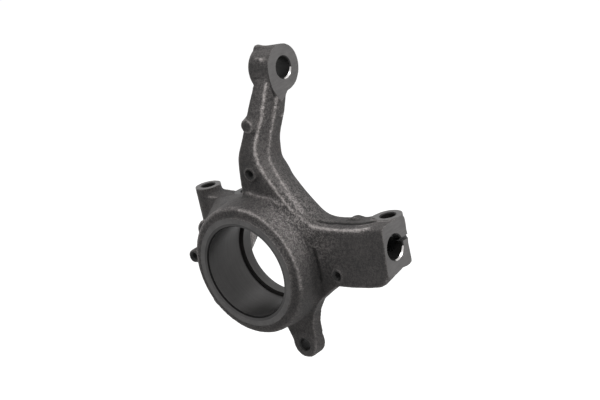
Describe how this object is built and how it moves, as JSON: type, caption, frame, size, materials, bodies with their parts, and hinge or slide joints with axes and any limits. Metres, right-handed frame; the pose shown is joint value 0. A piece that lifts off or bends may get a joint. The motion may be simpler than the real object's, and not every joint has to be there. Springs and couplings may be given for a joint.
{
  "type": "steering knuckle",
  "caption": "Cast knuckle with a bored bearing hub, a steering arm with an eye, a split clamp for a ball joint's stud, a strut ear and lugs.",
  "frame": {"origin": "on the wheel bearing's axis, halfway along its seat", "axes": "-Y outboard along the wheel's axis, +X towards the ball joint along the clamp's bore, +Z towards the tie rod's eye"},
  "size_m": [0.2429, 0.0993, 0.2575],
  "materials": {
    "cast_iron": "as-cast grey iron with machined seats and faces"
  },
  "bodies": {
    "root": {"steering_knuckle": "cast_iron"}
  },
  "joints": []
}
